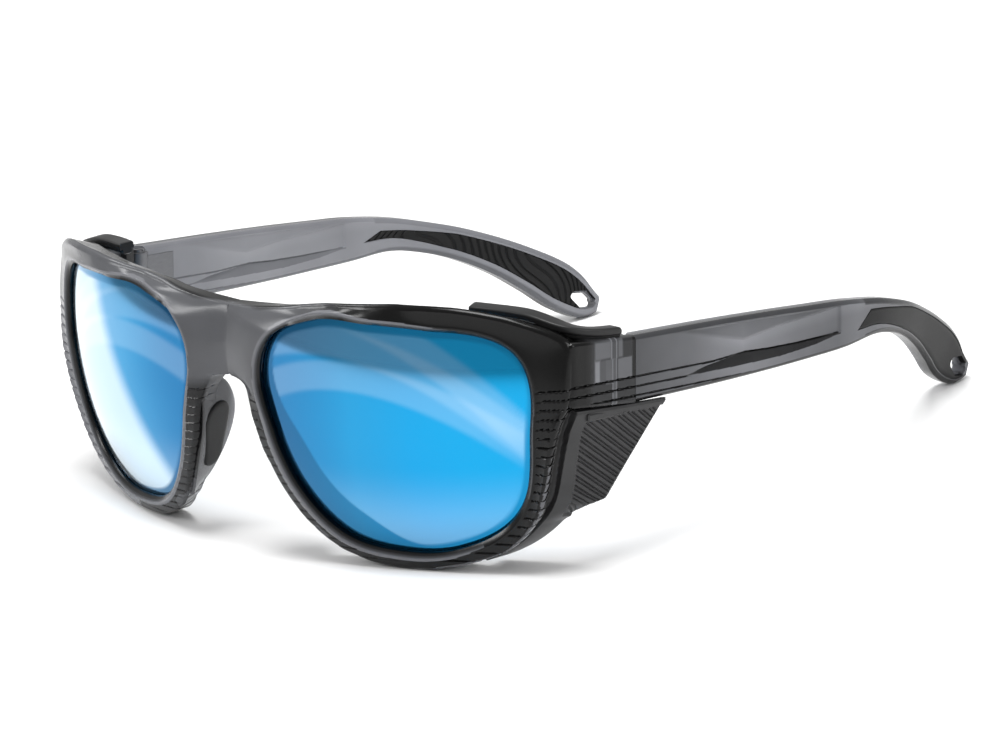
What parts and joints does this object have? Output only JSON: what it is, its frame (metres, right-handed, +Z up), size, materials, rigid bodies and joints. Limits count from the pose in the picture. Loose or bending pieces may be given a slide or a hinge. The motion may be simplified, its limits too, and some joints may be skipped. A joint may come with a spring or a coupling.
{
  "type": "prescription sports sunglasses",
  "caption": "Wrap-around full-rim sports sunglasses with bevelled prescription lenses, clip-on rubber side shields, rubber-gripped tips and folding temples.",
  "frame": {"origin": "on the surface that the glasses stand on, in the middle of their bounding box", "axes": "+X towards the wearer's left, -Y ahead of the wearer, +Z up; the glasses stand open on both rims and both temple tips"},
  "size_m": [0.14, 0.1464, 0.0509],
  "materials": {
    "smoke_nylon": "polished translucent smoke grey",
    "mirror_lens": "blue mirror coating",
    "soft_rubber": "matt",
    "shield_rubber": "satin",
    "hinge_steel": "satin"
  },
  "bodies": {
    "front": {"frame_front": "smoke_nylon", "lens_left": "mirror_lens", "lens_right": "mirror_lens", "nose_pad_left": "soft_rubber", "nose_pad_right": "soft_rubber", "hinge_front_leaf_left": "hinge_steel", "hinge_front_leaf_right": "hinge_steel", "hinge_screw_left": "hinge_steel", "hinge_screw_right": "hinge_steel", "side_shield_left": "shield_rubber", "side_shield_right": "shield_rubber"},
    "left_temple": {"temple_left": "smoke_nylon", "grip_outer_left": "soft_rubber", "grip_inner_left": "soft_rubber", "hinge_temple_leaf_left": "hinge_steel"},
    "right_temple": {"temple_right": "smoke_nylon", "grip_outer_right": "soft_rubber", "grip_inner_right": "soft_rubber", "hinge_temple_leaf_right": "hinge_steel"}
  },
  "joints": [
    {"name": "left_temple_fold", "type": "hinge", "parent": "front", "child": "left_temple", "pos_m": [0.0652, -0.03589, 0.0342], "axis": [0, 0.1298, 0.9915], "range_deg": [0, 90]},
    {"name": "right_temple_fold", "type": "hinge", "parent": "front", "child": "right_temple", "pos_m": [-0.0652, -0.03589, 0.0342], "axis": [0, -0.1298, -0.9915], "range_deg": [0, 80]}
  ]
}
